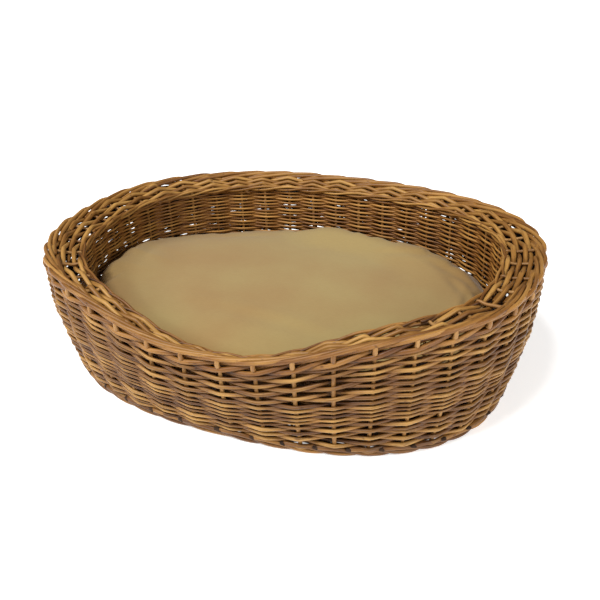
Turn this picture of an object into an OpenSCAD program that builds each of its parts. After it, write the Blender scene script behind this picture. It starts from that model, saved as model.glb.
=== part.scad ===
// Oval wicker pet bed: a double-walled willow basket with a dipped front, a broad
// rolled brim and a loose cushion. Millimetres, +Z up, -Y is the front.
// The origin is the middle of the footprint, on the floor.

/* [Rim] */
// Length over the widest line of the rim
rim_length = 800; // [700:10:900]
// Width over the widest line of the rim, front to back
rim_width = 608; // [560:4:680]
// Mean height of the widest line of the rim
rim_height = 194; // [180:1:230]
// Depth of the dip at the front, where the animal steps in
front_dip = 51; // [20:1:60]
// Angle over which the dip fades out on each side
dip_spread = 17.2; // [14:0.1:24]
// Extra height at the front and drop at the back
front_lift = 5; // [0:1:10]
// Extra height at the right end and drop at the left end
right_lift = 16; // [0:1:20]
// How far the outer wall bulges outwards halfway up
wall_bulge = 10; // [0:1:12]
// Width of the brim at the two ends
brim_end_width = 68; // [64:1:80]
// Width of the brim at the front
brim_front_width = 53; // [52:1:64]
// Width of the brim at the back
brim_back_width = 55; // [52:1:64]
// Height of the brim's crown above the widest line
crown_height = 10; // [6:1:14]

/* [Foot and base] */
// Length over the foot
foot_length = 722; // [700:2:760]
// Width over the foot
foot_width = 564; // [550:2:600]
// How far the foot sits behind the middle of the rim
foot_back = 13; // [0:1:16]
// How far the foot sits to the right of the middle of the rim
foot_right = 3; // [0:1:5]
// Thickness of each of the two foot rods
foot_rod = 8; // [7:0.5:8]
// Height of the base mat's underside above the floor
base_z = 5; // [4.5:0.5:6]
// Thickness of the base mat
base_thick = 10.3; // [10:0.1:12]

/* [Rods] */
// Number of upright stakes
stakes = 42; // [36:2:48]
// Diameter of a stake
stake_d = 5.6; // [4:0.1:6]
// Thickness of the outer weave
outer_skin = 5.5; // [4:0.1:6]
// Thickness of the inner weave
inner_skin = 4.5; // [4:0.1:5]
// Diameter of a rod of the outer rim wale
wale_d = 8.2; // [7:0.1:8.4]
// Diameter of a brim weaver
brim_rod_d = 6; // [5:0.1:6]
// Diameter of a rod of the inner rim wale
inner_wale_d = 6.2; // [5:0.1:6.4]

/* [Cushion] */
// Gap between the cushion and the inner rim
cushion_gap = 4; // [2:0.5:12]
// Height of the cushion's top edge above the floor
cushion_edge_z = 100; // [70:1:110]
// Height of the cushion's crown above its top edge
cushion_crown = 27; // [10:1:40]
// Thickness of the cushion's cover
cover_thick = 1.5; // [1:0.1:3]

/* [Hidden] */

// Fullness of each superellipse outline: 2 is an ellipse, more is squarer
rim_fullness = 2.35;
foot_fullness = 2.49;

// Clearances: between stacked pieces, and between a stake and what crosses it
gap = 0.3;
cross_gap = 1.2;
band_gap = 2.4;

// Rings of rod
ring_columns = 60;
rod_sides = 6;

// Outline sizes of the four horizontal ovals: half length, half width, centre, fullness
rim_oval = [rim_length / 2, rim_width / 2, [0, 0], rim_fullness];
foot_oval = [foot_length / 2, foot_width / 2, [foot_right, foot_back], foot_fullness];
well_width = rim_width - brim_front_width - brim_back_width;
well_oval = [rim_length / 2 - brim_end_width, well_width / 2,
    [0, (brim_front_width - brim_back_width) / 2], rim_fullness];
well_floor_oval = [well_oval[0] + 2, well_oval[1] + 5, [1, well_oval[2].y + 6], rim_fullness];

// Heights that do not change round the basket
base_top = base_z + base_thick;
weave_foot_z = 2 * foot_rod + 1;
packing_height = 33;
inner_split_z = 95;

// Base sticks
cross_stick_d = 4.4;
cross_stick_pitch = 46;
cross_stick_pairs = 6;
long_stick_d = 4.4;
long_stick_pitch = 12;
long_stick_rows = 2;
stick_clearance = 0.25;
slath_half_length = cross_stick_pairs * cross_stick_pitch + 12;
slath_half_width = long_stick_rows * long_stick_pitch + 8;

// ---- Outlines -------------------------------------------------------------

function signed_power(v, p) = sign(v) * pow(abs(v), p);
function lerp(p, q, t) = p + (q - p) * t;

// Point of an oval at angle u: 0 is the front, 90 the right end, 180 the back
function oval_point(oval, u) = oval[2]
    + [oval[0] * signed_power(sin(u), 2 / oval[3]), -oval[1] * signed_power(cos(u), 2 / oval[3])];

// Outward unit normal of an oval at angle u
function oval_normal(oval, u) =
    let (p = oval_point(oval, u) - oval[2],
         g = [signed_power(p.x / oval[0], oval[3] - 1) / oval[0],
              signed_power(p.y / oval[1], oval[3] - 1) / oval[1]])
    g / norm(g);

// Point of an oval moved outwards by a distance
function oval_out(oval, u, out) = oval_point(oval, u) + out * oval_normal(oval, u);

function oval_outline(oval, out, columns = 96) =
    [for (i = [0 : columns - 1]) oval_out(oval, i * 360 / columns, out)];

// Angles at equal steps along the rim, so that the stakes stand evenly
rim_steps = 360;
rim_table = [for (i = 0, s = 0; i <= rim_steps;
    s = s + norm(oval_point(rim_oval, i + 1) - oval_point(rim_oval, i)), i = i + 1) [s, i]];
rim_perimeter = rim_table[rim_steps][0];
function angle_at(share) = lookup((share - floor(share)) * rim_perimeter, rim_table);

stake_phase = 0.24;
function stake_angle(k) = angle_at((k + stake_phase) / stakes);

// ---- Heights --------------------------------------------------------------

function half_turn(u) = u > 180 ? u - 360 : u;
function dip(u) = exp(-pow(half_turn(u) / dip_spread, 2) / 2);
function rim_z(u) = rim_height - front_dip * dip(u) + front_lift * cos(u) + right_lift * sin(u);
function well_z(u) = rim_z(u) + 1 - 11 * dip(u);
function lower_top_z(u) = 42 + 0.57 * (rim_z(u) - 151);

// ---- Surfaces -------------------------------------------------------------

// Outer wall: inset is measured inwards from the widest face
function outer_wall(u, z, inset) =
    let (t = z / rim_z(u), out = wall_bulge * sin(180 * t) - inset,
         p = lerp(oval_out(foot_oval, u, out), oval_out(rim_oval, u, out), t))
    [p.x, p.y, z];

// Inner wall: behind is measured outwards from the face that the cushion meets
function inner_wall(u, z, behind) =
    let (p = lerp(oval_out(well_floor_oval, u, behind), oval_out(well_oval, u, behind),
                  (z - base_top) / (well_z(u) - base_top)))
    [p.x, p.y, z];

// Brim: t runs from the outer edge at 0 to the inner edge at 1
crown_at = 0.12;
function brim_surface_z(u, t) = t < crown_at
    ? rim_z(u) + crown_height * sin(90 * t / crown_at)
    : lerp(rim_z(u) + crown_height, well_z(u), (t - crown_at) / (1 - crown_at));
function brim(u, t, depth) =
    let (p = lerp(oval_point(rim_oval, u), oval_point(well_oval, u), t))
    [p.x, p.y, brim_surface_z(u, t) - depth];

// ---- Solids ---------------------------------------------------------------

// A closed ring through sections that each hold the same number of points
module ring_solid(sections) {
    m = len(sections);
    k = len(sections[0]);
    function at(i, j) = (i % m) * k + j % k;
    polyhedron(
        points = [for (s = sections) each s],
        faces = [for (i = [0 : m - 1], j = [0 : k - 1])
            each [[at(i, j), at(i, j + 1), at(i + 1, j + 1)],
                  [at(i, j), at(i + 1, j + 1), at(i + 1, j)]]],
        convexity = 10);
}

// An open sweep through sections, closed at both ends
module rod_solid(sections) {
    m = len(sections);
    k = len(sections[0]);
    function at(i, j) = i * k + j % k;
    polyhedron(
        points = [for (s = sections) each s],
        faces = concat(
            [for (i = [0 : m - 2], j = [0 : k - 1])
                each [[at(i, j), at(i + 1, j + 1), at(i, j + 1)],
                      [at(i, j), at(i + 1, j), at(i + 1, j + 1)]]],
            [for (j = [1 : k - 2]) [at(0, 0), at(0, j), at(0, j + 1)]],
            [for (j = [1 : k - 2]) [at(m - 1, 0), at(m - 1, j + 1), at(m - 1, j)]]),
        convexity = 10);
}

// A rod that runs once round the basket; centre(u) gives its middle
module ring_rod(d, centre) {
    ring_solid([for (i = [0 : ring_columns - 1])
        let (u = angle_at(i / ring_columns), c = centre(u), n = oval_normal(rim_oval, u))
        [for (j = [0 : rod_sides - 1])
            let (a = j * 360 / rod_sides + 30)
            c + d / 2 * [n.x * cos(a), n.y * cos(a), sin(a)]]]);
}

// A band of weave: wall(u, z, in) is its surface, low(u) and high(u) its edges.
// Each row stands out at every other stake and lies back at the next.
module weave_band(rows, thick, relief, low, high, wall) {
    ring_solid([for (k = [0 : stakes - 1])
        let (u = stake_angle(k), z0 = low(u), z1 = high(u), pitch = (z1 - z0) / rows)
        concat(
            [wall(u, z0, relief)],
            [for (r = [0 : rows - 1]) wall(u, z0 + (r + 0.5) * pitch, (r + k) % 2 == 0 ? 0 : relief)],
            [wall(u, z1, relief)],
            [for (share = [0 : 1 / 3 : 1]) wall(u, lerp(z1, z0, share), thick)])]);
}

// One stake: up the inner wall, over the brim and down the outer wall, where its
// tip is a little nearer to the next stake, so that it runs past its own butt
module stake(k) {
    r = stake_d / 2;
    u = stake_angle(k);
    next = stake_angle(k + 1);
    n = oval_normal(rim_oval, u);
    along = [-n.y, n.x, 0];
    tip_shift = 0.15;
    behind = inner_skin + gap + r;
    inset = outer_skin + gap + r;
    under = brim_rod_d + cross_gap + r;
    path = [
        inner_wall(u, base_top + gap, behind),
        inner_wall(u, inner_split_z, behind),
        inner_wall(u, well_z(u) - 18, inner_wale_d + gap + r + 0.5),
        brim(u, 0.74, under),
        brim(u, 0.5, under),
        brim(u, 0.27, under),
        outer_wall(u, rim_z(u) - 16, wale_d + 2 + r),
        lerp(outer_wall(u, 90, inset + 1), outer_wall(next, 90, inset + 1), tip_shift * 0.6),
        lerp(outer_wall(u, weave_foot_z + 1, inset), outer_wall(next, weave_foot_z + 1, inset),
             tip_shift)];
    last = len(path) - 1;
    rod_solid([for (i = [0 : last])
        let (step = path[min(i + 1, last)] - path[max(i - 1, 0)],
             side = cross(along, step / norm(step)))
        [for (j = [0 : rod_sides - 1])
            let (a = j * 360 / rod_sides)
            path[i] + r * (along * cos(a) - side * sin(a))]]);
}

// ---- Base and foot --------------------------------------------------------

// Lengths of sticks that reach the edge of the base mat
base_oval = [foot_oval[0] - foot_rod - gap, foot_oval[1] - foot_rod - gap,
    foot_oval[2], foot_fullness];
stick_margin = 12;
function base_half_width(x) =
    base_oval[1] * pow(1 - pow(abs(x) / base_oval[0], foot_fullness), 1 / foot_fullness);
function base_half_length(y) =
    base_oval[0] * pow(1 - pow(abs(y) / base_oval[1], foot_fullness), 1 / foot_fullness);

module long_sticks(d) {
    z = base_top - 0.3 - long_stick_d / 2;
    for (row = [-long_stick_rows : long_stick_rows]) {
        y = row * long_stick_pitch;
        half = base_half_length(y) - stick_margin;
        translate([foot_right - half, foot_back + y, z])
            rotate([0, 90, 0]) cylinder(d = d, h = 2 * half, $fn = 32);
    }
}

module cross_sticks(d) {
    z = base_z + 0.3 + cross_stick_d / 2;
    for (pair = [-cross_stick_pairs : cross_stick_pairs], side = [-1, 1]) {
        x = pair * cross_stick_pitch + side * (cross_stick_d / 2 + 0.4);
        half = base_half_width(x) - stick_margin;
        translate([foot_right + x, foot_back - half, z])
            rotate([-90, 0, 0]) cylinder(d = d, h = 2 * half, $fn = 32);
    }
}

module base_long_sticks() { color("burlywood") long_sticks(long_stick_d); }

module base_cross_sticks() { color("tan") cross_sticks(cross_stick_d); }

// The mat woven round the sticks, left open over the crossing in the middle
module base_weave() {
    color("peru") difference() {
        translate([0, 0, base_z]) linear_extrude(base_thick) difference() {
            polygon(oval_outline(base_oval, 0));
            translate([foot_right, foot_back])
                square([2 * slath_half_length, 2 * slath_half_width], center = true);
        }
        long_sticks(long_stick_d + 2 * stick_clearance);
        cross_sticks(cross_stick_d + 2 * stick_clearance);
    }
}

// A foot rod is flat where it meets the floor or its neighbour and narrower there
module foot_rod_at(z) {
    chamfer = 1.5;
    module layer(low, height, inset) {
        translate([0, 0, z + low]) linear_extrude(height) difference() {
            polygon(oval_outline(foot_oval, -inset));
            polygon(oval_outline(foot_oval, inset - foot_rod));
        }
    }
    layer(0, chamfer, chamfer);
    layer(chamfer, foot_rod - 2 * chamfer, 0);
    layer(foot_rod - chamfer, chamfer, chamfer);
}

module foot_lower_rod() { color("peru") foot_rod_at(0); }

module foot_upper_rod() { color("burlywood") foot_rod_at(foot_rod + gap); }

// ---- Walls ----------------------------------------------------------------

module wall_stakes() {
    color("tan") for (k = [0 : stakes - 1]) stake(k);
}

outer_face = function (u, z, inset) outer_wall(u, z, inset);
inner_face = function (u, z, behind) inner_wall(u, z, behind);

module outer_lower_weave() {
    color("peru") weave_band(8, outer_skin, 2, function (u) weave_foot_z,
        function (u) lower_top_z(u) - gap, outer_face);
}

module outer_packing_weave() {
    color("sandybrown") weave_band(8, outer_skin, 2, function (u) lower_top_z(u) + gap,
        function (u) lower_top_z(u) + packing_height - gap, outer_face);
}

module outer_upper_weave() {
    color("peru") weave_band(12, outer_skin, 2, function (u) lower_top_z(u) + packing_height + gap,
        function (u) rim_z(u) - 1.5 * wale_d - gap - band_gap, outer_face);
}

// The inner bands are swept the other way up, so that their faces point outwards
module inner_upper_weave() {
    color("peru") weave_band(14, inner_skin, 1.5, function (u) well_z(u) - 2 * inner_wale_d - band_gap,
        function (u) inner_split_z + gap, inner_face);
}

module inner_lower_weave() {
    color("sienna") weave_band(10, inner_skin, 1.5, function (u) inner_split_z - gap,
        function (u) base_top + gap, inner_face);
}

// ---- Brim and rims --------------------------------------------------------

module rim_wale_upper_rod() {
    color("burlywood") ring_rod(wale_d, function (u) outer_wall(u, rim_z(u), wale_d / 2));
}

module rim_wale_lower_rod() {
    color("peru") ring_rod(wale_d,
        function (u) outer_wall(u, rim_z(u) - wale_d - gap, wale_d / 2));
}

// The weavers share the space between the two rims evenly where the brim is narrowest
first_weaver_at = (wale_d + 1.5 * gap + brim_rod_d / 2) / brim_front_width;
last_weaver_at = 1 - (inner_wale_d + 1.5 * gap + brim_rod_d / 2) / brim_front_width;
module brim_weaver(number, tint) {
    t = lerp(first_weaver_at, last_weaver_at, (number - 1) / 5);
    color(tint) ring_rod(brim_rod_d, function (u) brim(u, t, brim_rod_d / 2));
}

module brim_weaver_1() { brim_weaver(1, "burlywood"); }

module brim_weaver_2() { brim_weaver(2, "sandybrown"); }

module brim_weaver_3() { brim_weaver(3, "peru"); }

module brim_weaver_4() { brim_weaver(4, "sandybrown"); }

module brim_weaver_5() { brim_weaver(5, "burlywood"); }

module brim_weaver_6() { brim_weaver(6, "peru"); }

module inner_rim_upper_rod() {
    color("peru") ring_rod(inner_wale_d,
        function (u) inner_wall(u, well_z(u) - inner_wale_d / 2, inner_wale_d / 2));
}

module inner_rim_lower_rod() {
    color("sienna") ring_rod(inner_wale_d,
        function (u) inner_wall(u, well_z(u) - 1.5 * inner_wale_d - gap, inner_wale_d / 2));
}

// ---- Cushion --------------------------------------------------------------

cushion_columns = 48;
cushion_low = base_top + 0.5;
cushion_side = cushion_edge_z - cushion_low;

// Profile from the middle of the underside to the crown: share of the outline, height
cushion_profile = [
    [0.90, cushion_low],
    [0.965, cushion_low + 0.10 * cushion_side],
    [0.995, cushion_low + 0.30 * cushion_side],
    [1.00, cushion_low + 0.55 * cushion_side],
    [0.99, cushion_low + 0.80 * cushion_side],
    [0.955, cushion_edge_z],
    [0.87, cushion_edge_z + 0.42 * cushion_crown],
    [0.70, cushion_edge_z + 0.72 * cushion_crown],
    [0.42, cushion_edge_z + 0.94 * cushion_crown],
    [0.12, cushion_edge_z + cushion_crown]];

// The cushion's form, taken in by a distance on every side
module cushion_form(inset) {
    mid_z = (cushion_low + cushion_edge_z + cushion_crown) / 2;
    half_height = mid_z - cushion_low;
    shrink = (half_height - inset) / half_height;
    rod_solid([for (p = cushion_profile)
        [for (i = [0 : cushion_columns - 1])
            let (u = i * 360 / cushion_columns,
                 c = well_oval[2],
                 q = c + (oval_out(well_oval, u, -cushion_gap - inset) - c) * p[0])
            [q.x, q.y, mid_z + (p[1] - mid_z) * shrink]]]);
}

module cushion_cover() {
    color("darkkhaki") difference() {
        cushion_form(0);
        cushion_form(cover_thick);
    }
}

module cushion_filling() { color("ivory") cushion_form(cover_thick + 0.3); }

base_long_sticks();
base_cross_sticks();
base_weave();
foot_lower_rod();
foot_upper_rod();
wall_stakes();
outer_lower_weave();
outer_packing_weave();
outer_upper_weave();
rim_wale_lower_rod();
rim_wale_upper_rod();
brim_weaver_1();
brim_weaver_2();
brim_weaver_3();
brim_weaver_4();
brim_weaver_5();
brim_weaver_6();
inner_rim_upper_rod();
inner_rim_lower_rod();
inner_upper_weave();
inner_lower_weave();
cushion_cover();
cushion_filling();
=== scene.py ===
"""An oval willow pet bed with a loose cushion. Every willow rod is its own woven tube."""
import math

import bpy
import numpy as np
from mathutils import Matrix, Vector

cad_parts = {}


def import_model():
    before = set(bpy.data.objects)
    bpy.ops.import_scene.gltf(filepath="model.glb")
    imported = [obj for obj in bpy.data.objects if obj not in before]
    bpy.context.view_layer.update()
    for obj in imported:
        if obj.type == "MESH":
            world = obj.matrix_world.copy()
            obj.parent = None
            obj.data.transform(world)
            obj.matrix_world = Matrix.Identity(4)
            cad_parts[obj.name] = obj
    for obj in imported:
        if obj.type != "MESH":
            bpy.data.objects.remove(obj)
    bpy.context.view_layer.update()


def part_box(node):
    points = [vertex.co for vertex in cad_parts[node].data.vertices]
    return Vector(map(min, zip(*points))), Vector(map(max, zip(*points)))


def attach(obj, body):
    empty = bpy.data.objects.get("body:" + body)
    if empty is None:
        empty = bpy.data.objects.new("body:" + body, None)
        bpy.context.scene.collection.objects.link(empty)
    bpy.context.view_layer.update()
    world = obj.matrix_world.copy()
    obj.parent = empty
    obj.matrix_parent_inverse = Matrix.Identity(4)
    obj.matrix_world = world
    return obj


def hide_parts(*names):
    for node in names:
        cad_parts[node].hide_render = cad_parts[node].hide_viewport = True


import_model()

MM = 0.001
rng = np.random.default_rng(7)

# ---- Driving values, in metres and radians -----------------------------------------------

STAKES = 42
STAKE_PHASE = 0.24  # how far the first stake lies past the front, in stake spaces
STAKE_R = 2.9 * MM
INNER_STAKE_R = 2.3 * MM
RIM_HEIGHT = 194 * MM
FRONT_DIP = 51 * MM
DIP_SPREAD = math.radians(17.2)
FRONT_LIFT = 5 * MM
RIGHT_LIFT = 16 * MM
WALL_BULGE = 10 * MM
CROWN = 10 * MM  # the brim's rise behind its outer edge
CROWN_AT = 0.12  # where the brim is highest, as a share of its width
RIM_FULLNESS = 2.35  # the power of a superellipse, where 2 is an ellipse
FOOT_FULLNESS = 2.49
WELL_LIFT = 1 * MM  # the brim's inner edge above its outer edge
WELL_FRONT_DROP = 11 * MM
OUTER_STAKE_INSET = 8.6 * MM
INNER_STAKE_BEHIND = 7.6 * MM
BRIM_STAKE_DEPTH = 9.6 * MM
INNER_RIM_D = 6.2 * MM
FOOT_TOP = 17 * MM
LOWER_BAND_TOP = 42 * MM  # the height of the lower band where the rim is as high as this:
LOWER_BAND_RIM = 151 * MM
LOWER_BAND_RISE = 0.57  # how much of the rim's further rise the lower band follows
PACKING = 33 * MM
BASE_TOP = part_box("base_weave")[1][2]


class Oval:
    """A superellipse in plan. Angle 0 is the front (-Y) and a quarter turn is the right end."""

    def __init__(self, half_x, half_y, centre, fullness):
        self.half = np.array([half_x, half_y])
        self.centre = np.array(centre)
        self.n = fullness

    def point(self, u):
        unit = np.stack([np.sin(u), -np.cos(u)], -1)
        return self.centre + self.half * np.sign(unit) * np.abs(unit) ** (2 / self.n)

    def normal(self, u):
        p = (self.point(u) - self.centre) / self.half
        g = np.sign(p) * np.abs(p) ** (self.n - 1) / self.half
        return g / np.linalg.norm(g, axis=-1, keepdims=True)

    def out(self, u, distance):
        return self.point(u) + np.reshape(distance, (-1, 1)) * self.normal(u)


def oval_of(node, fullness, inset=0.0):
    """The oval that a ring node's box holds, taken in by inset."""
    lo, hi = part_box(node)
    return Oval((hi[0] - lo[0]) / 2 - inset, (hi[1] - lo[1]) / 2 - inset,
                [(hi[0] + lo[0]) / 2, (hi[1] + lo[1]) / 2], fullness)


def lengths_along(path):
    """The length of a path up to each of its points."""
    steps = np.linalg.norm(np.diff(path, axis=0), axis=1)
    return np.concatenate([[0], np.cumsum(steps)])


rim = oval_of("rim_wale_upper_rod", RIM_FULLNESS)
foot = oval_of("foot_lower_rod", FOOT_FULLNESS)
well = oval_of("inner_rim_upper_rod", RIM_FULLNESS, INNER_RIM_D)
well_floor = Oval(well.half[0] + 2 * MM, well.half[1] + 5 * MM,
                  well.centre + np.array([1, 6]) * MM, RIM_FULLNESS)

EVEN_ANGLES = np.linspace(0, 2 * math.pi, 721)
RIM_LENGTHS = lengths_along(rim.point(EVEN_ANGLES))


def angle_at(share):
    """The angle at a share of the way along the rim, measured as length."""
    share = np.asarray(share, float)
    return np.interp(share % 1 * RIM_LENGTHS[-1], RIM_LENGTHS, EVEN_ANGLES)


def stake_angle(s):
    """The angle at stake number s, which may lie between two stakes."""
    return angle_at((np.asarray(s, float) + STAKE_PHASE) / STAKES)


def stake_steps(low, high, samples):
    """Stake numbers from low to high, with samples steps in each stake space."""
    return np.arange(low * samples, high * samples + 1) / samples


FOOT_ROD_START = 0.42  # how far past its stake a foot rod begins, in stake spaces


def stake_ahead(u):
    return u + FOOT_ROD_START * 2 * math.pi / STAKES


def half_turn(u):
    """The angle from the front, from minus half a turn to half a turn."""
    return (u + math.pi) % (2 * math.pi) - math.pi


def dip(u):
    return np.exp(-(half_turn(u) / DIP_SPREAD) ** 2 / 2)


def rim_z(u):
    return RIM_HEIGHT - FRONT_DIP * dip(u) + FRONT_LIFT * np.cos(u) + RIGHT_LIFT * np.sin(u)


def well_z(u):
    return rim_z(u) + WELL_LIFT - WELL_FRONT_DROP * dip(u)


def lower_top_z(u):
    return LOWER_BAND_TOP + LOWER_BAND_RISE * (rim_z(u) - LOWER_BAND_RIM)


def level(z):
    """A height that is the same all round."""
    return lambda u: np.full_like(u, z)


def smooth(x, low, high):
    """0 below low and 1 above high, with a soft rise between them."""
    t = np.clip((x - low) / (high - low), 0, 1)
    return t * t * (3 - 2 * t)


def with_z(plan, z):
    return np.concatenate([plan, np.reshape(z, (-1, 1))], 1)


def outer_wall(u, z, inset):
    """The outer wall's face at height z, and inset into it."""
    share = np.reshape(z / rim_z(u), (-1, 1))
    out = WALL_BULGE * np.sin(math.pi * np.clip(z / rim_z(u), 0, 1)) - inset
    return with_z(foot.out(u, out) * (1 - share) + rim.out(u, out) * share, z)


def inner_wall(u, z, behind):
    """The inner wall's face at height z, and behind it."""
    share = np.reshape((z - BASE_TOP) / (well_z(u) - BASE_TOP), (-1, 1))
    behind = np.broadcast_to(behind, u.shape)
    return with_z(well_floor.out(u, behind) * (1 - share) + well.out(u, behind) * share, z)


def brim_top_z(u, t):
    rise = rim_z(u) + CROWN * np.sin(np.clip(t / CROWN_AT, 0, 1) * math.pi / 2)
    fall = np.clip((t - CROWN_AT) / (1 - CROWN_AT), 0, 1)
    return rise * (1 - fall) + well_z(u) * fall


def brim(u, t, depth):
    """The brim's top: t is 0 at the outer edge and 1 at the inner edge."""
    t = np.broadcast_to(t, u.shape)
    share = np.reshape(t, (-1, 1))
    return with_z(rim.point(u) * (1 - share) + well.point(u) * share, brim_top_z(u, t) - depth)


# ---- Rods --------------------------------------------------------------------------------

class Rods:
    """Collects swept rods into one mesh, with each vertex's place on its own rod."""

    def __init__(self):
        self.verts, self.faces, self.place, self.tone, self.depth = [], [], [], [], []
        self.count = 0

    def add(self, path, radius, up, sides=8, flat=1.0, round_ends=True, depth=3 * MM, facing=0):
        """A rod along path. up is the direction that flat squeezes, one per point.

        depth is how far the rod's middle lies behind the face of the weave, and facing says
        whether that face looks along up (1), against it (-1) or neither (0). From these each vertex
        gets its depth behind the face, which the material paints as shade."""
        path = np.asarray(path, float)
        radius = np.broadcast_to(radius, (len(path),)).astype(float)
        depth = np.broadcast_to(depth, (len(path),)).astype(float)
        step = np.gradient(path, axis=0)
        step /= np.linalg.norm(step, axis=1, keepdims=True)
        side = np.cross(step, np.broadcast_to(up, path.shape))
        side /= np.linalg.norm(side, axis=1, keepdims=True)
        over = np.cross(side, step)
        length = lengths_along(path)
        if round_ends:
            path = np.concatenate([[path[0] - step[0] * radius[0] * 0.3], path,
                                   [path[-1] + step[-1] * radius[-1] * 0.3]])
            radius = np.concatenate([[radius[0] * 0.8], radius, [radius[-1] * 0.8]])
            side = np.concatenate([side[:1], side, side[-1:]])
            over = np.concatenate([over[:1], over, over[-1:]])
            length = np.concatenate([[0], length, [length[-1]]])
            depth = np.concatenate([depth[:1], depth, depth[-1:]])
        n = len(path)
        turn = np.arange(sides) * 2 * math.pi / sides
        c, s = np.cos(turn), np.sin(turn)
        ring = (side[:, None] * c[None, :, None] + over[:, None] * (s * flat)[None, :, None])
        verts = path[:, None] + radius[:, None, None] * ring
        place = np.stack(np.broadcast_arrays(
            radius[:, None] * c[None], radius[:, None] * s[None], length[:, None]), -1)
        first = self.count
        i = np.arange(n - 1)[:, None] * sides
        j = np.arange(sides)[None]
        k = (j + 1) % sides
        quads = np.stack([i + j, i + k, i + sides + k, i + sides + j], -1).reshape(-1, 4) + first
        self.faces.extend(quads.tolist())
        self.faces.append((first + np.arange(sides))[::-1].tolist())
        self.faces.append((first + (n - 1) * sides + np.arange(sides)).tolist())
        self.verts.append(verts.reshape(-1, 3))
        self.place.append(place.reshape(-1, 3))
        self.tone.append(np.broadcast_to(rng.random(3), (n * sides, 3)))
        # Painted shade: each vertex's depth behind the face, so a rod's far side is painted darker
        # too.
        behind = depth[:, None] - facing * radius[:, None] * s[None]
        self.depth.append(behind.ravel())
        self.count += n * sides

    def build(self, name, material, body, slot, *nodes):
        """Makes the mesh, parents it to its body and hides the CAD nodes it replaces. slot is not
        used.
        """
        mesh = bpy.data.meshes.new(name)
        mesh.from_pydata(np.concatenate(self.verts).tolist(), [], self.faces)
        for key, rows in (("rod_place", self.place), ("rod_tone", self.tone)):
            data = mesh.attributes.new(key, "FLOAT_VECTOR", "POINT")
            data.data.foreach_set("vector", np.concatenate(rows).ravel().astype(np.float32))
        # Each vertex's depth in the weave, which the willow material paints as shade.
        data = mesh.attributes.new("painted_shade_depth", "FLOAT", "POINT")
        data.data.foreach_set("value", np.concatenate(self.depth).astype(np.float32))
        mesh.polygons.foreach_set("use_smooth", np.ones(len(mesh.polygons), bool))
        mesh.materials.append(material)
        piece = bpy.data.objects.new(name, mesh)
        bpy.context.collection.objects.link(piece)
        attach(piece, body)
        if nodes:
            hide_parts(*nodes)


def wander(s, size, every=3.0):
    """Slow random drift along a rod, of about the given size, over stake coordinate s."""
    knots = np.arange(math.floor(s[0] / every) - 1, math.ceil(s[-1] / every) + 3)
    values = rng.normal(0, 1, len(knots))
    x = s / every
    i = np.searchsorted(knots, x, side="right") - 1
    f = x - knots[i]
    f = f * f * (3 - 2 * f)
    return size * (values[i] * (1 - f) + values[np.minimum(i + 1, len(knots) - 1)] * f)


WAVE = 0.997  # how nearly straight a rod runs between two stakes, up to 1
TUCK = 0.42  # how far a rod of the walls runs on past its last stake, in stake spaces
BUTT = 1.10  # a wall rod's thickness at its thick end
TAPER = 0.26  # and what it loses on the way to its tip


def over_under(s, row):
    """1 where a rod passes in front of a stake, -1 where it passes behind."""
    return np.arcsin(WAVE * np.cos(math.pi * (s - row))) / math.asin(WAVE)


def share_along(s):
    return (s - s[0]) / (s[-1] - s[0])


def away_from_ends(s, reach):
    """0 at both ends of a rod and 1 from reach onwards."""
    return smooth(np.minimum(s - s[0], s[-1] - s), 0, reach)


def weave_row(rods, row, z_of, radius_of, surface, stake_inset, first=0.0, last=float(STAKES),
              pieces=2, samples=10, sides=8, squeeze=0.5 * MM, drift=0.5 * MM, stake_r=STAKE_R,
              facing=1, shade=0.75):
    """One row of rods, over one stake and under the next, between two stake numbers.

    The row is cut into pieces that meet behind a stake. shade is how much of a rod's inset
    counts as its depth in the weave, which sets how dark its painted shade is."""
    start = first + (rng.integers(0, STAKES) if last - first >= STAKES else 0)
    cuts = np.linspace(start, start + last - first, pieces + 1)
    for low, high in zip(cuts[:-1], cuts[1:]):
        low = round(low) + (round(low) - row + 1) % 2
        high = round(high) + (round(high) - row + 1) % 2
        if high - low < 2:
            continue
        s = stake_steps(low - TUCK, high + TUCK, samples)
        u = stake_angle(s)
        share = share_along(s)
        if rng.random() < 0.5:
            share = 1 - share
        r = radius_of(u) * (BUTT - TAPER * share) * (1 + wander(s, 0.03, 2.0))
        r = r * rng.uniform(0.94, 1.06)
        ends = away_from_ends(s, TUCK)
        reach = stake_r + r - squeeze
        wave = over_under(s, row) * ends - (1 - ends) * 1.25
        inset = stake_inset - reach * wave + wander(s, 0.25 * MM, 1.0)
        z = z_of(u) + wander(s, drift, 1.7)
        path, up = surface(u, z, inset)
        # Painted shade: a share of the inset is the depth that the material darkens by.
        rods.add(path, r, up, sides=sides, flat=0.94, depth=inset * shade, facing=facing)


def outward(u):
    return with_z(rim.normal(u), np.zeros_like(u))


def outer_surface(u, z, inset):
    return outer_wall(u, z, inset), outward(u)


def inner_surface(u, z, behind):
    return inner_wall(u, z, behind), outward(u)


def shares(rows, weights):
    """Each row's share of its band's height: 1, or what its own function in weights says."""
    def at(u):
        return np.stack([weights[r](u) if r in weights else np.ones_like(u) for r in range(rows)])
    return at


def band_rows(low, high, share_of):
    """Functions for the middle height and the pitch of each row of a band."""
    def middle(row):
        def z_of(u):
            w = share_of(u)
            below = w[:row].sum(0) + w[row] / 2
            return low(u) + (high(u) - low(u)) * below / w.sum(0)
        return z_of

    def pitch(row):
        def pitch_of(u):
            w = share_of(u)
            return (high(u) - low(u)) * w[row] / w.sum(0)
        return pitch_of
    return middle, pitch


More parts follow.
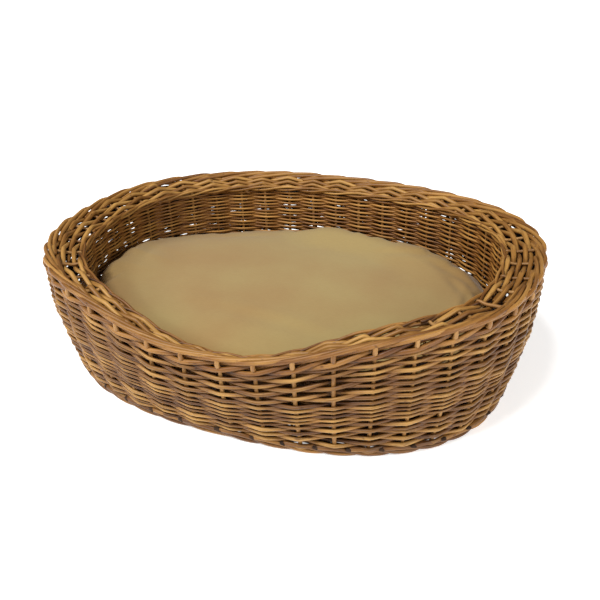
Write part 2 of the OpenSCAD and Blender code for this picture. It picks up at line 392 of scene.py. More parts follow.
def weave_band(name, material, node, rows, low, high, thick, pitch, surface, stake_inset,
               weights=None, short=None, back=0.0, **kw):
    """A band of rows between the heights low and high, as one piece.

    thick is a rod's thickness where the rows lie pitch apart, and back is how much thicker it
    is at the back. short maps the rows that don't go round to their first and last stakes."""
    middle, own_pitch = band_rows(low, high, shares(rows, weights or {}))
    rods = Rods()
    for row in range(rows):
        def radius_of(u, pitch_of=own_pitch(row)):
            fuller = 1 + back * smooth(np.abs(half_turn(u)), math.radians(95), math.radians(120))
            return thick / 2 * np.clip(pitch_of(u) / pitch, 0.35, 1.3) ** 0.2 * fuller
        span = {}
        if short and row in short:
            first, last = short[row]
            span = {"first": first, "last": last, "pieces": max(1, round((last - first) / 21))}
        weave_row(rods, row, middle(row), radius_of, surface, stake_inset, **{**kw, **span})
    rods.build(name, material, "basket", "wall_willow", node)


def through(at, values):
    """Straight runs between the values at the given stake coordinates, with rounded corners."""
    reach = np.linspace(-0.16, 0.16, 9)

    def of(c):
        return np.mean([np.interp(c + step, at, values) for step in reach], axis=0)
    return of


def strands(rods, reach, height, depth, radius, place, cover=None, samples=12, sides=10,
            drift=0.4 * MM):
    """One short rod for each stake. height and depth give its path against stakes passed.

    cover, where it isn't the same as depth, says how deep in the weave the rod counts as lying for
    its painted shade."""
    for k in range(STAKES):
        c = stake_steps(*reach, samples)
        u = stake_angle(k + c)
        size = rng.uniform(0.93, 1.07)
        r = radius * size * (1.06 - 0.12 * share_along(c)) * (1 + wander(c, 0.02, 2.0))
        up = height(c) + wander(c, drift, 1.5)
        inset = depth(c) + wander(c, drift, 1.5)
        path, normal = place(u, up, inset)
        rods.add(path, r, normal, sides=sides, flat=0.95,
                 depth=inset if cover is None else cover(c))


# ---- Materials ---------------------------------------------------------------------------

def node(tree, kind, **values):
    made = tree.nodes.new(kind)
    for key, value in values.items():
        setattr(made, key, value)
    return made


def ramp(tree, factor, stops):
    made = node(tree, "ShaderNodeValToRGB")
    tree.links.new(factor, made.inputs["Fac"])
    while len(made.color_ramp.elements) < len(stops):
        made.color_ramp.elements.new(0.5)
    for element, (at, colour) in zip(made.color_ramp.elements, stops):
        element.position = at
        element.color = (*colour, 1)
    return made.outputs["Color"]


def maths(tree, operation, a, b=None, clamp=False):
    made = node(tree, "ShaderNodeMath", operation=operation, use_clamp=clamp)
    for socket, value in zip(made.inputs, (a, b)):
        if value is None:
            continue
        if isinstance(value, (int, float)):
            socket.default_value = value
        else:
            tree.links.new(value, socket)
    return made.outputs[0]


def noise(tree, vector, scale, detail=2.0, rough=0.5):
    made = node(tree, "ShaderNodeTexNoise")
    made.inputs["Scale"].default_value = scale
    made.inputs["Detail"].default_value = detail
    made.inputs["Roughness"].default_value = rough
    tree.links.new(vector, made.inputs["Vector"])
    return made.outputs["Fac"]


def mix(tree, factor, a, b, blend="MIX"):
    made = node(tree, "ShaderNodeMix", data_type="RGBA", blend_type=blend)
    for socket, value in zip((made.inputs[0], made.inputs[6], made.inputs[7]), (factor, a, b)):
        if isinstance(value, (int, float)):
            socket.default_value = value
        elif isinstance(value, tuple):
            socket.default_value = (*value, 1)
        else:
            tree.links.new(value, socket)
    return made.outputs[2]


def new_material(name):
    made = bpy.data.materials.new(name)
    made.use_nodes = True
    tree = made.node_tree
    shader = next(n for n in tree.nodes if n.type == "BSDF_PRINCIPLED")
    return made, tree, shader


def willow(name, pale, mid, deep, rough=0.42):
    """Steamed willow: each rod its own tone, with streaks, patches and knots, and painted shade that
    darkens it in the gaps.
    """
    made, tree, shader = new_material(name)
    place = node(tree, "ShaderNodeAttribute", attribute_name="rod_place").outputs["Vector"]
    tone_node = node(tree, "ShaderNodeAttribute", attribute_name="rod_tone")
    tone = node(tree, "ShaderNodeSeparateXYZ")
    tree.links.new(tone_node.outputs["Vector"], tone.inputs[0])
    shift = node(tree, "ShaderNodeVectorMath", operation="MULTIPLY_ADD")
    shift.inputs[1].default_value = (7.3, 5.1, 9.7)
    tree.links.new(tone_node.outputs["Vector"], shift.inputs[0])
    tree.links.new(place, shift.inputs[2])

    def stretched(x, z):
        scaled = node(tree, "ShaderNodeVectorMath", operation="MULTIPLY")
        scaled.inputs[1].default_value = (x, x, z)
        tree.links.new(shift.outputs[0], scaled.inputs[0])
        return scaled.outputs[0]

    streak = noise(tree, stretched(900, 26), 1.0, 3.0, 0.6)
    patch = noise(tree, stretched(90, 16), 1.0, 2.0)
    grain = noise(tree, stretched(2600, 240), 1.0, 2.0)
    knot = noise(tree, stretched(260, 95), 1.0, 1.0)
    value = maths(tree, "MULTIPLY", tone.outputs[0], 0.32)
    value = maths(tree, "ADD", value, maths(tree, "MULTIPLY", patch, 0.72))
    value = maths(tree, "ADD", value, maths(tree, "MULTIPLY", streak, 0.62))
    value = maths(tree, "SUBTRACT", value, 0.35, clamp=True)
    colour = ramp(tree, value, [(0.12, deep), (0.40, mid), (0.62, pale),
                                (0.88, tuple(min(1, c * 1.28) for c in pale))])
    dark = ramp(tree, knot, [(0.66, (1, 1, 1)), (0.76, (0.34, 0.25, 0.18))])
    colour = mix(tree, 0.8, colour, dark, "MULTIPLY")
    # Painted shade: the deeper a vertex lies behind the face of the weave, the darker it is painted.
    depth = node(tree, "ShaderNodeAttribute", attribute_name="painted_shade_depth").outputs["Fac"]
    hidden = maths(tree, "MULTIPLY", depth, 1 / (16 * MM), clamp=True)
    painted_gap_shade = ramp(tree, hidden, [(0.08, (1, 1, 1)), (0.22, (0.74, 0.65, 0.56)),
                                 (0.40, (0.54, 0.44, 0.34)), (0.58, (0.14, 0.09, 0.05)),
                                 (0.76, (0.03, 0.017, 0.009))])
    colour = mix(tree, 1.0, colour, painted_gap_shade, "MULTIPLY")
    fine = ramp(tree, grain, [(0.30, (0.80, 0.77, 0.73)), (0.55, (1, 1, 1))])
    colour = mix(tree, 0.55, colour, fine, "MULTIPLY")
    tree.links.new(colour, shader.inputs["Base Color"])
    gloss = maths(tree, "ADD", maths(tree, "MULTIPLY", patch, 0.22), rough - 0.10)
    gloss = maths(tree, "ADD", gloss, maths(tree, "MULTIPLY", streak, 0.10))
    tree.links.new(gloss, shader.inputs["Roughness"])
    shader.inputs["Specular IOR Level"].default_value = 0.35
    height = maths(tree, "ADD", streak, maths(tree, "MULTIPLY", grain, 0.4))
    bump = node(tree, "ShaderNodeBump")
    bump.inputs["Strength"].default_value = 0.35
    bump.inputs["Distance"].default_value = 0.25 * MM
    tree.links.new(height, bump.inputs["Height"])
    tree.links.new(bump.outputs["Normal"], shader.inputs["Normal"])
    return made


def cotton(name, colour, dark):
    """Plain cotton: a fine weave in the bump, faint uneven tone, and painted shade darkening its edge
    where it turns down.
    """
    made, tree, shader = new_material(name)
    place = node(tree, "ShaderNodeTexCoord").outputs["Object"]
    blotch = noise(tree, place, 5.0, 3.0)
    slub = node(tree, "ShaderNodeVectorMath", operation="MULTIPLY")
    slub.inputs[1].default_value = (130, 900, 900)
    tree.links.new(place, slub.inputs[0])
    thread = noise(tree, slub.outputs[0], 1.0, 2.0)
    shade = ramp(tree, blotch, [(0.36, dark), (0.60, colour)])
    # Painted shade: the cotton darkens towards its edge, where the cushion turns down by the wall.
    reach = node(tree, "ShaderNodeVectorMath", operation="MULTIPLY")
    reach.inputs[1].default_value = (3.05, 4.06, 0)  # about 1 at the cushion's edge
    tree.links.new(place, reach.inputs[0])
    length = node(tree, "ShaderNodeVectorMath", operation="LENGTH")
    tree.links.new(reach.outputs[0], length.inputs[0])
    edge = ramp(tree, length.outputs["Value"], [(0.80, (1, 1, 1)), (1.0, (0.72, 0.60, 0.50))])
    shade = mix(tree, 1.0, shade, edge, "MULTIPLY")
    threads = ramp(tree, thread, [(0.30, (0.90, 0.89, 0.87)), (0.62, (1, 1, 1))])
    tree.links.new(mix(tree, 0.6, shade, threads, "MULTIPLY"), shader.inputs["Base Color"])
    shader.inputs["Roughness"].default_value = 0.92
    shader.inputs["Specular IOR Level"].default_value = 0.25
    shader.inputs["Sheen Weight"].default_value = 0.15
    weave = []
    for direction in ("X", "Y"):
        wave = node(tree, "ShaderNodeTexWave", bands_direction=direction)
        wave.inputs["Scale"].default_value = 380.0
        wave.inputs["Distortion"].default_value = 0.6
        tree.links.new(place, wave.inputs["Vector"])
        weave.append(wave.outputs["Fac"])
    height = maths(tree, "ADD", maths(tree, "MAXIMUM", *weave), thread)
    bump = node(tree, "ShaderNodeBump")
    bump.inputs["Strength"].default_value = 0.25
    bump.inputs["Distance"].default_value = 0.2 * MM
    tree.links.new(height, bump.inputs["Height"])
    tree.links.new(bump.outputs["Normal"], shader.inputs["Normal"])
    return made


WALL = willow("wall_willow", (0.385, 0.208, 0.054), (0.180, 0.078, 0.014), (0.060, 0.020, 0.004))
BRIM = willow("brim_willow", (0.43, 0.232, 0.060), (0.265, 0.120, 0.023), (0.110, 0.039, 0.007))
INNER = willow("inner_willow", (0.40, 0.200, 0.045), (0.240, 0.102, 0.018), (0.095, 0.033, 0.006))
STAKE = willow("stake_willow", (0.48, 0.28, 0.10), (0.340, 0.175, 0.052), (0.160, 0.070, 0.020))
END = willow("cut_end_willow", (0.05, 0.026, 0.012), (0.03, 0.015, 0.007), (0.012, 0.006, 0.003), 0.9)
COTTON = cotton("cushion_cotton", (0.325, 0.234, 0.089), (0.300, 0.190, 0.070))


# ---- Walls -------------------------------------------------------------------------------

BAND_GAP = 1.3 * MM
INNER_SPLIT = 95 * MM

# Rows that stop short, with the stakes where they begin and end.
FRONT_GAP = (3.0, 39.0)
BACK_SPAN = (13.0, 29.0)
RIGHT_SPAN = (4.0, 17.0)


def off_front(u):
    """The share of a row that is missing where the rim dips."""
    return 0.05 + 0.95 * smooth(np.abs(half_turn(u)), math.radians(9), math.radians(26))


def right_end(u):
    """The share of a row that is only at the right end."""
    return 0.05 + 0.95 * smooth(np.sin(u), 0.55, 0.9)


def at_back(u):
    """The share of a row that is only at the back."""
    return 0.05 + 0.95 * smooth(np.abs(half_turn(u)), math.radians(106), math.radians(122))


def outer_lower():
    gap, right = (2, 3), (6, 7)
    weights = {**dict.fromkeys(gap, off_front), **dict.fromkeys(right, right_end)}
    short = {**dict.fromkeys(gap, FRONT_GAP), **dict.fromkeys(right, RIGHT_SPAN)}
    weave_band("outer_lower_rods", WALL, "outer_lower_weave", 10, level(FOOT_TOP - 5.5 * MM),
               lambda u: lower_top_z(u) - BAND_GAP, 5.6 * MM, 5.2 * MM, outer_surface,
               OUTER_STAKE_INSET, weights, short)


def outer_packing():
    weave_band("outer_packing_rods", WALL, "outer_packing_weave", 8,
               lambda u: lower_top_z(u) + BAND_GAP, lambda u: lower_top_z(u) + PACKING, 4.2 * MM,
               4.0 * MM, outer_surface, OUTER_STAKE_INSET, back=0.42, pieces=3)


def outer_upper():
    """The upper band, with rows that grow coarser towards the rim."""
    rows, lowest, highest = 20, 0.84, 1.22
    gap, back = (3, 4, 9, 10, 15, 16), (6, 7, 12, 13)
    step = (highest - lowest) / (rows - 1)
    weights = {row: level(lowest + step * row) for row in range(rows)}
    weights.update({**dict.fromkeys(gap, off_front), **dict.fromkeys(back, at_back)})
    short = {**dict.fromkeys(gap, FRONT_GAP), **dict.fromkeys(back, BACK_SPAN)}
    weave_band("outer_upper_rods", WALL, "outer_upper_weave", rows,
               lambda u: lower_top_z(u) + PACKING, lambda u: rim_z(u) - 13.8 * MM, 5.9 * MM,
               5.9 * MM, outer_surface, OUTER_STAKE_INSET, weights, short, back=0.30)


def inner_bands():
    inside = {"sides": 6, "pieces": 3, "facing": -1, "stake_r": INNER_STAKE_R, "shade": 0.65}
    weave_band("inner_upper_rods", INNER, "inner_upper_weave", 22, level(INNER_SPLIT),
               lambda u: well_z(u) - 13 * MM, 4.2 * MM, 4.2 * MM, inner_surface,
               INNER_STAKE_BEHIND, samples=8, **inside)
    weave_band("inner_lower_rods", INNER, "inner_lower_weave", 16, level(BASE_TOP),
               level(INNER_SPLIT), 4.4 * MM, 4.9 * MM, inner_surface, INNER_STAKE_BEHIND,
               samples=6, **inside)


outer_lower()
outer_packing()
outer_upper()
inner_bands()


# ---- Brim --------------------------------------------------------------------------------

BRIM_ROWS = 6
BRIM_FIRST, BRIM_LAST = 0.225, 0.845  # the rows' places across the brim
BRIM_PITCH = (BRIM_LAST - BRIM_FIRST) / (BRIM_ROWS - 1)
BRIM_ROD_R = 3.7 * MM
BRIM_TUCK = 0.4
BRIM_ROD_RUN = 22.4  # stake spaces that a rod of the brim runs over


def brim_width(u):
    return np.linalg.norm(rim.point(u) - well.point(u), axis=-1)


def brim_weaver(row):
    """A row on the brim, of two rods that each run a little more than halfway round."""
    t = BRIM_FIRST + (BRIM_LAST - BRIM_FIRST) * row / (BRIM_ROWS - 1)
    rods = Rods()
    for half in range(2):
        low = half * STAKES // 2 + int(rng.integers(0, 10)) * 2 + (row + 1) % 2
        s = stake_steps(low - BRIM_TUCK, low + BRIM_ROD_RUN, 12)
        u = stake_angle(s)
        r = np.minimum(BRIM_ROD_R, 0.72 * BRIM_PITCH * brim_width(u))
        r = r * (1.08 - 0.20 * share_along(s)) * (1 + wander(s, 0.03, 2.0))
        ends = away_from_ends(s, BRIM_TUCK)
        wave = over_under(s, row) * ends - (1 - ends) * 1.3
        depth = BRIM_STAKE_DEPTH - (STAKE_R + r - 0.5 * MM) * wave + wander(s, 0.3 * MM, 1.0)
        across = t + wander(s, 0.010, 1.5)
        # Painted shade: a brim rod counts as lying only 0.38 of its depth in the weave.
        rods.add(brim(u, across, depth), r, (0, 0, 1), sides=10, flat=0.95, depth=depth * 0.38,
                 facing=1)
    rods.build(f"brim_rod_{row + 1}", BRIM, "basket", "brim_willow", f"brim_weaver_{row + 1}")


for row in range(BRIM_ROWS):
    brim_weaver(row)


def rim_place(u, up, inset):
    return outer_wall(u, rim_z(u) + up, inset), outward(u)


def inner_rim_place(u, up, inset):
    return inner_wall(u, well_z(u) - 6.5 * MM + up, inset), outward(u)


def foot_place(u, up, inset):
    return outer_wall(u, 9.2 * MM + up, inset), outward(u)


def rim_wale():
    """Each rim rod rises past the stakes: before one, behind the next and before the third.

    Then it lies along the brim's outer edge until the brim's first row covers it."""
    at = [-2.4, -2, -1, 0, 1, 2, 3, 3.4]
    # cover sets how deep each rim rod counts as lying, and so how much painted shade it gets.
    cover = through(at, np.array([14, 12.5, 2.8, 8, 2.8, 2.6, 3.5, 5]) * MM)
    up = through(at, np.array([-16, -14.6, -10.2, -1.4, 7.4, 7.2, 3.5, 0]) * MM)
    inset = through(at, np.array([15, 14, 3.0, 11.0, 4.0, 11.0, 17.5, 19]) * MM)
    rods = Rods()
    strands(rods, (-2.3, 3.3), up, inset, 3.5 * MM, rim_place, cover)
    rods.build("rim_wale_rods", BRIM, "basket", "brim_willow", "rim_wale_upper_rod",
               "rim_wale_lower_rod")


def inner_rim():
    """Three thin long rods line the inner edge, each slipping behind every third stake."""
    at = [0, 0.5, 1, 1.5, 2, 2.5, 3]
    behind = 11.4
    up = through(at, np.array([0, 3, 4.4, 1.5, -3, -3, 0]) * MM)
    inwards = through(at, np.array([behind, 4.6, 3.0, 3.6, 3.2, 4.6, behind]) * MM)
    rods = Rods()
    for strand in range(3):
        for low in range(0, STAKES, STAKES // 3):
            s = stake_steps(low + strand * 3 - 0.2, low + strand * 3 + 15.2, 14)
            u = stake_angle(s)
            c = (s - strand) % 3
            r = 2.35 * MM * (1.08 - 0.2 * share_along(s))
            ends = away_from_ends(s, 0.8)
            inset = inwards(c) * ends + (1 - ends) * behind * MM
            path, normal = inner_rim_place(u, up(c) + wander(s, 0.3 * MM, 1.5), inset)
            # Painted shade: the rods count as lying no deeper than 6.5 mm in the weave.
            rods.add(path, r, normal, sides=8, flat=0.95, depth=np.minimum(inset, 6.5 * MM),
                     facing=-1)
    rods.build("inner_rim_rods", BRIM, "basket", "brim_willow", "inner_rim_upper_rod",
               "inner_rim_lower_rod")


def foot_rods():
    """Each foot rod starts at its cut end between two stakes, runs on above, and sinks below."""
    at = [0, 0.5, 1, 1.5, 2, 2.7]
    up = through(at, np.array([5.0, 5.0, 0.8, -4.4, -5.4, -3.6]) * MM)
    inset = through(at, np.array([3.6, 3.4, 5.0, 3.0, 3.6, 12]) * MM)
    rods = Rods()
    strands(rods, (0.04, 2.7), up, inset, 3.2 * MM,
            lambda u, up, inset: foot_place(stake_ahead(u), up, inset), samples=10,
            drift=0.3 * MM)
    # Two plain rows stand between the walls, where the floor would show through; lying deep, they get
    # dark painted shade.
    for row, behind in enumerate((11 * MM, 17 * MM)):
        weave_row(rods, row, level(9 * MM), level(3.6 * MM), outer_surface, behind)
    rods.build("foot_rods", WALL, "basket", "wall_willow", "foot_lower_rod", "foot_upper_rod")


rim_wale()
inner_rim()
foot_rods()


# ---- Stakes ------------------------------------------------------------------------------

def spline(points, per=8):
    """A smooth curve through points, with per steps between two of them."""
    p = np.asarray(points, float)
    p = np.concatenate([[2 * p[0] - p[1]], p, [2 * p[-1] - p[-2]]])
    f = np.arange(per)[:, None] / per
    curve = []
    for a, b, c, d in zip(p[:-3], p[1:-2], p[2:-1], p[3:]):
        curve.append(0.5 * (2 * b + (c - a) * f + (2 * a - 5 * b + 4 * c - d) * f ** 2
                            + (3 * b - a - 3 * c + d) * f ** 3))
    return np.concatenate([*curve, p[-2:-1]])


def stake_path(k):
    """A stake's path up the inner wall, over the brim and down the outer wall, and its angle."""
    u = np.array([float(stake_angle(k + rng.normal(0, 0.02)))])
    top, inner_top = rim_z(u), well_z(u)

    def inside(z):
        return inner_wall(u, z + 0 * u, INNER_STAKE_BEHIND)

    def outside(z, inset=OUTER_STAKE_INSET):
        return outer_wall(u, z + 0 * u, inset)

    points = [
        inside(BASE_TOP),
        inside(55 * MM),
        inside(95 * MM),
        inside(inner_top - 22 * MM),
        inside(inner_top - 8 * MM),
        brim(u, 0.84, BRIM_STAKE_DEPTH * 0.72),
        brim(u, 0.68, BRIM_STAKE_DEPTH),
        brim(u, 0.50, BRIM_STAKE_DEPTH),
        brim(u, 0.32, BRIM_STAKE_DEPTH),
        brim(u, 0.19, BRIM_STAKE_DEPTH * 0.92),
        outside(top + 6.5 * MM, 7.2 * MM),
        outside(top + 2.5 * MM, 3.2 * MM),
        outside(top - 3.5 * MM, 3.2 * MM),
        outside(top - 7.5 * MM, 6.4 * MM),
        outside(top - 12 * MM),
        outside(top * 0.65),
        outside(top * 0.35),
        outside(20 * MM),
        outside(12 * MM)]
    return spline(np.concatenate(points)), u


def stake_rods():
    """All stakes, each thickest where it shows as a peg below the rim."""
    stakes = Rods()
    for k in range(STAKES):
        path, u = stake_path(k)
        normal = outward(u)[0]
        along_wall = np.array([-normal[1], normal[0], 0])
        up = np.cross(np.gradient(path, axis=0), along_wall)
        width = STAKE_R * np.interp(np.linspace(0, 1, len(path)),
                                    [0, 0.35, 0.54, 0.60, 0.70, 0.76, 1],
                                    [0.76, 0.86, 0.98, 1.22, 1.22, 1.02, 1.06])
        stakes.add(path, width * rng.uniform(0.94, 1.06), up, sides=8)
    stakes.build("stake_rods", STAKE, "basket", "stick_willow", "wall_stakes")


def cut_ends():
    """The dark slanted cut at the start of each foot rod."""
    stubs = Rods()
    for k in range(STAKES):
        c = np.linspace(-0.075, 0.05, 5)
        u = stake_ahead(stake_angle(k + c))
        path, normal = foot_place(u, level(4.6 * MM)(u), (2.6 - 8 * (c - 0.05)) * MM)
        stubs.add(path, 3.3 * MM * np.linspace(0.75, 1.0, 5), normal, sides=10)
    stubs.build("foot_cut_ends", END, "basket", "stick_willow")


stake_rods()
cut_ends()


# ---- Base --------------------------------------------------------------------------------

BASE_LO, BASE_HI = (np.array(corner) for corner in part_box("base_weave"))
BASE_CENTRE = (BASE_LO + BASE_HI) / 2
BASE_HALF = (BASE_HI - BASE_LO) / 2
BASE_PITCH = 5.6 * MM
BASE_SPOKES = 28
BASE_HEART = np.array([BASE_HALF[0] - BASE_HALF[1] + 26 * MM, 26 * MM])
BASE_ROUNDS = int((BASE_HALF[1] - BASE_HEART[1] - 3 * MM) / BASE_PITCH)


def base_mat():
    """Rods woven flat round the sticks of the base, in rounds from the middle outwards."""
    rods = Rods()
    for row in range(BASE_ROUNDS + 1):
        size = BASE_HEART + row * BASE_PITCH
        fullness = 2 + (FOOT_FULLNESS - 2) * row / BASE_ROUNDS
        s = np.arange(BASE_SPOKES * 12 + 4) / 12 + 3 * row
        z = BASE_CENTRE[2] + np.cos(math.pi * (s - row)) * 2.1 * MM
        plan = Oval(*size, BASE_CENTRE[:2], fullness).point(2 * math.pi * s / BASE_SPOKES)
        rods.add(with_z(plan, z), 2.95 * MM, (0, 0, 1), sides=6, flat=0.9)
    rods.build("base_mat_rods", INNER, "basket", "base_willow", "base_weave")


def base_sticks():
    """The spokes that the mat is woven round, and the long and cross sticks in its middle."""
    x, y, z = BASE_CENTRE
    outer = Oval(*(BASE_HEART + BASE_ROUNDS * BASE_PITCH - 2 * MM), BASE_CENTRE[:2], FOOT_FULLNESS)
    inner = Oval(*BASE_HEART, BASE_CENTRE[:2], 2)
    sticks = Rods()
    for spoke in range(BASE_SPOKES):
        u = np.array([2 * math.pi * spoke / BASE_SPOKES])
        a, b = inner.point(u)[0], outer.point(u)[0]
        start = a - (b - a) / np.linalg.norm(b - a) * 14 * MM
        sticks.add(np.linspace([*start, z], [*b, z], 24), 2.6 * MM, (0, 0, 1), sides=8)
    reach = BASE_HEART[0] + 5 * MM
    for row in range(-2, 3):
        at = y + row * 11 * MM
        path = np.linspace([x - reach, at, z], [x + reach, at, z], 40)
        sticks.add(path, 3.4 * MM, (0, 0, 1), sides=8)
    for column in range(-5, 6):
        at = x + column * (BASE_HEART[0] - 30 * MM) / 5
        side = z + (1 if column % 2 else -1) * MM
        path = np.linspace([at, y - 30 * MM, side], [at, y + 30 * MM, side], 16)
        sticks.add(path, 3.0 * MM, (0, 0, 1), sides=8)
    sticks.build("base_stick_rods", STAKE, "basket", "stick_willow", "base_long_sticks",
                 "base_cross_sticks")


base_mat()
base_sticks()


# ---- Cushion -----------------------------------------------------------------------------

CUSHION_LO, CUSHION_HI = (np.array(corner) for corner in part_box("cushion_cover"))
CUSHION_CENTRE = (CUSHION_LO + CUSHION_HI) / 2
CUSHION_HALF = (CUSHION_HI - CUSHION_LO) / 2
CUSHION_FULLNESS = 2.4


def cushion_outline(u, share=1.0):
    outline = Oval(*CUSHION_HALF[:2], CUSHION_CENTRE[:2], CUSHION_FULLNESS)
    return outline.point(u) * share + CUSHION_CENTRE[:2] * (1 - share)


def cushion_form(columns=150, rings=20):
    """A closed form of two panels that meet at a seam near the middle of its side."""
    bottom, top = CUSHION_LO[2] + 2 * MM, CUSHION_HI[2] - 4 * MM
    seam = bottom + 0.45 * (top - bottom)
    edge = bottom + 0.80 * (top - bottom)
    profile = [(0.90 * f, bottom) for f in np.linspace(0, 1, rings)[1:]]
    profile += [(0.95, bottom + 6 * MM), (0.98, bottom + 18 * MM), (0.99, seam),
                (0.99, edge - 12 * MM), (0.982, edge - 4 * MM), (0.962, edge)]
    profile += [(0.962 * f, edge + (top - edge) * (1 - f ** CUSHION_FULLNESS))
                for f in np.linspace(1, 0, rings)[1:-1]]
    u = np.arange(columns) * 2 * math.pi / columns
    verts = np.concatenate([with_z(cushion_outline(u, share), np.full(columns, z))
                            for share, z in profile])
    x, y = CUSHION_CENTRE[:2]
    verts = np.concatenate([verts, [[x, y, bottom], [x, y, top]]])
    faces = []
    for i in range(len(profile) - 1):
        for j in range(columns):
            k = (j + 1) % columns
            faces.append((i * columns + j, i * columns + k, (i + 1) * columns + k,
                          (i + 1) * columns + j))
    last = (len(profile) - 1) * columns
    for j in range(columns):
        k = (j + 1) % columns
        faces.append((len(verts) - 2, k, j))
        faces.append((len(verts) - 1, last + j, last + k))
    mesh = bpy.data.meshes.new("cushion")
    mesh.from_pydata(verts.tolist(), [], faces)
    piece = bpy.data.objects.new("cushion", mesh)
    bpy.context.collection.objects.link(piece)
    return piece


def apply_modifiers(piece):
    """Swaps the piece's mesh for the one its modifiers make."""
    depsgraph = bpy.context.evaluated_depsgraph_get()
    done = bpy.data.meshes.new_from_object(piece.evaluated_get(depsgraph))
    piece.modifiers.clear()
    piece.data = done


def points_of(piece):
    flat = np.empty(len(piece.data.vertices) * 3)
    piece.data.vertices.foreach_get("co", flat)
    return flat.reshape(-1, 3)


def set_points(piece, points):
    piece.data.vertices.foreach_set("co", points.ravel())
    piece.data.update()


def puff(piece, voxel=6 * MM, frames=20, cap=14 * MM):
    """Swells the cushion like stuffed cloth, with the Cloth modifier applied at the end."""
    remesh = piece.modifiers.new("remesh", "REMESH")
    remesh.mode = "VOXEL"
    remesh.voxel_size = voxel
    apply_modifiers(piece)
    start = points_of(piece)
    cloth = piece.modifiers.new("cloth", "CLOTH")
    cloth.settings.use_pressure = True
    cloth.settings.uniform_pressure_force = 4
    cloth.settings.tension_stiffness = 12
    cloth.settings.compression_stiffness = 12
    cloth.settings.shear_stiffness = 4
    cloth.settings.bending_stiffness = 0.3
    cloth.settings.shrink_min = -0.02
    cloth.settings.effector_weights.gravity = 0
    cloth.collision_settings.use_collision = False
    scene = bpy.context.scene
    for frame_number in range(1, frames + 1):
        scene.frame_set(frame_number)
    apply_modifiers(piece)
    end = points_of(piece)
    move = end - start
    size = np.linalg.norm(move, axis=1, keepdims=True)
    set_points(piece, start + move * np.minimum(1, cap / np.maximum(size, 1e-9)))
    scene.frame_set(1)


def fit_to_space(piece):
    """Scales the swollen cushion back into the space of the CAD cushion."""
    points = points_of(piece)
    lo, hi = points.min(0), points.max(0)
    low = CUSHION_LO + np.array([1, 1, 0.5]) * MM
    high = CUSHION_HI - np.array([1, 1, 1]) * MM
    set_points(piece, low + (points - lo) * (high - low) / (hi - lo))


# How many millimetres the cushion's edge stands up, at degrees round from the front.
EDGE_LIFT = [(0, -4), (30, 0), (60, 2), (90, 6), (125, 16), (145, 19), (160, 16), (170, 20),
             (184, 17), (190, 8), (200, -2), (212, -9), (225, -9), (240, -2), (249, 6), (257, 14),
             (263, 18), (270, 24), (284, 24), (300, 15), (330, 2), (360, -4)]

# Broad folds: place x and y, heading in degrees and length in metres, then width and depth in
# millimetres.
FOLDS = [(0.245, 0.121, -37, 0.055, 9, 3.4), (0.256, 0.088, -52, 0.035, 8, 2.6),
         (0.268, -0.06, 74, 0.060, 8, 2.0), (0.285, 0.03, 96, 0.05, 7, 2.2),
         (0.16, 0.17, 8, 0.06, 10, 1.6), (-0.27, 0.02, 98, 0.06, 11, 1.6),
         (-0.17, 0.15, 22, 0.07, 12, 1.6), (0.03, -0.13, -8, 0.11, 15, 1.1)]


def settle(piece):
    """The worn top: its edge stands higher or lower round the well, with soft folds."""
    points = points_of(piece)
    x, y, z = points.T
    top = smooth(z, CUSHION_LO[2] + 45 * MM, CUSHION_LO[2] + 80 * MM)
    across = (x - CUSHION_CENTRE[0]) / CUSHION_HALF[0]
    back = (y - CUSHION_CENTRE[1]) / CUSHION_HALF[1]
    turn = np.degrees(np.arctan2(across, -back)) % 360
    rho = (np.abs(across) ** CUSHION_FULLNESS + np.abs(back) ** CUSHION_FULLNESS) ** (
        1 / CUSHION_FULLNESS)
    shift = np.interp(turn, *zip(*EDGE_LIFT)) * MM * smooth(rho, 0.55, 0.97)
    for fold_x, fold_y, heading, reach, width, depth in FOLDS:
        a = math.radians(heading)
        w = width * MM
        along = (x - fold_x) * math.cos(a) + (y - fold_y) * math.sin(a)
        beside = -(x - fold_x) * math.sin(a) + (y - fold_y) * math.cos(a) + 0.06 * along ** 2 / reach
        shape = -np.exp(-(beside / w) ** 2) + 0.7 * np.exp(-((beside - 1.7 * w) / w) ** 2)
        shift = shift + depth * MM * shape * np.exp(-(along / reach) ** 2)
    points[:, 2] = z + top * shift
    set_points(piece, points)


def seam_cord(piece):
    """A thin welt over the seam round the cushion's side, found from the cushion itself."""
    points = points_of(piece)
    stretch = np.array([1.32, 1])  # the cushion's length against its width
    flat = (points[:, :2] - CUSHION_CENTRE[:2]) / stretch
    angle = np.arctan2(flat[:, 0], -flat[:, 1])
    reach = np.linalg.norm(flat, axis=1)
    path = []
    for u in np.linspace(0, 2 * math.pi, 181)[:-1]:
        near = np.abs(half_turn(angle - u)) < 0.03
        outermost = np.argsort(reach[near])[-6:]
        path.append(points[near][outermost].mean(0))
    path = np.array(path)
    for _ in range(3):
        path = (np.roll(path, 1, 0) + path * 2 + np.roll(path, -1, 0)) / 4
    welt = Rods()
    welt.add(np.concatenate([path, path[:1]]), 1.6 * MM, (0, 0, 1), sides=8, round_ends=False)
    welt.build("cushion_seam", COTTON, "cushion", "cushion_cotton")


def make_cushion():
    piece = cushion_form()
    puff(piece)
    fit_to_space(piece)
    smoother = piece.modifiers.new("subdivision", "SUBSURF")
    smoother.levels = smoother.render_levels = 1
    apply_modifiers(piece)
    settle(piece)
    mesh = piece.data
    mesh.polygons.foreach_set("use_smooth", np.ones(len(mesh.polygons), bool))
    mesh.materials.clear()
    mesh.materials.append(COTTON)
    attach(piece, "cushion")
    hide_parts("cushion_cover", "cushion_filling")
    seam_cord(piece)


make_cushion()


# ---- Stage, light and camera -------------------------------------------------------------

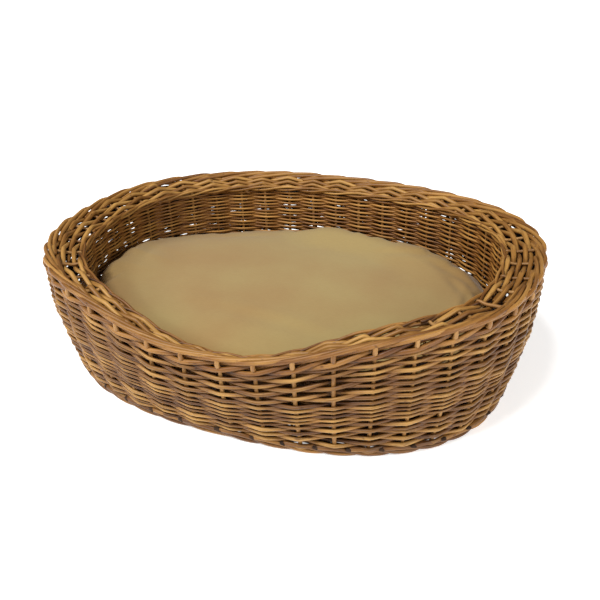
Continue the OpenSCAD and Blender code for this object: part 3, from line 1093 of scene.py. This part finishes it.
def stage():
    bpy.ops.mesh.primitive_plane_add(size=400)
    floor = bpy.context.object
    floor.name = "floor"
    made, _, shader = new_material("floor_white")
    shader.inputs["Base Color"].default_value = (0.92, 0.92, 0.92, 1)
    shader.inputs["Roughness"].default_value = 0.9
    shader.inputs["Emission Color"].default_value = (1, 1, 1, 1)
    shader.inputs["Emission Strength"].default_value = 0.5
    floor.data.materials.append(made)


def lamp(kind, name, place, target, power, colour=(1, 1, 1), **values):
    data = bpy.data.lights.new(name, kind)
    data.energy = power
    data.color = colour
    for key, value in values.items():
        setattr(data, key, value)
    made = bpy.data.objects.new(name, data)
    made.location = place
    made.rotation_euler = (Vector(target) - Vector(place)).to_track_quat("-Z", "Y").to_euler()
    bpy.context.collection.objects.link(made)


def world(strength):
    made = bpy.data.worlds.new("studio")
    made.use_nodes = True
    back = made.node_tree.nodes["Background"]
    back.inputs["Color"].default_value = (1, 1, 1, 1)
    back.inputs["Strength"].default_value = strength
    bpy.context.scene.world = made
    bpy.context.scene.view_settings.view_transform = "Standard"


def camera():
    data = bpy.data.cameras.new("camera")
    data.lens = 53.9
    data.sensor_width = 36
    data.clip_end = 100
    view = bpy.data.objects.new("camera", data)
    azimuth = math.radians(21.36)
    elevation = math.radians(28.98)
    distance = 1.491
    target = Vector((0.0153, 0.0060, 0.0896))
    back = Vector((math.sin(azimuth) * math.cos(elevation), -math.cos(azimuth) * math.cos(elevation),
                   math.sin(elevation)))
    view.location = target + back * distance
    view.rotation_euler = (-back).to_track_quat("-Z", "Y").to_euler()
    bpy.context.collection.objects.link(view)
    bpy.context.scene.camera = view


stage()
world(0.18)
lamp("SUN", "sky", (-0.7, -1.3, 2.6), (0, 0, 0), 3.05, angle=math.radians(20))
lamp("AREA", "key", (-1.7, -1.1, 1.3), (0, 0, 0.1), 20, (1.0, 0.98, 0.95), size=0.6)
lamp("AREA", "fill", (1.9, -0.9, 1.1), (0, 0, 0.1), 24, (1.0, 0.98, 0.95), size=0.8)
camera()
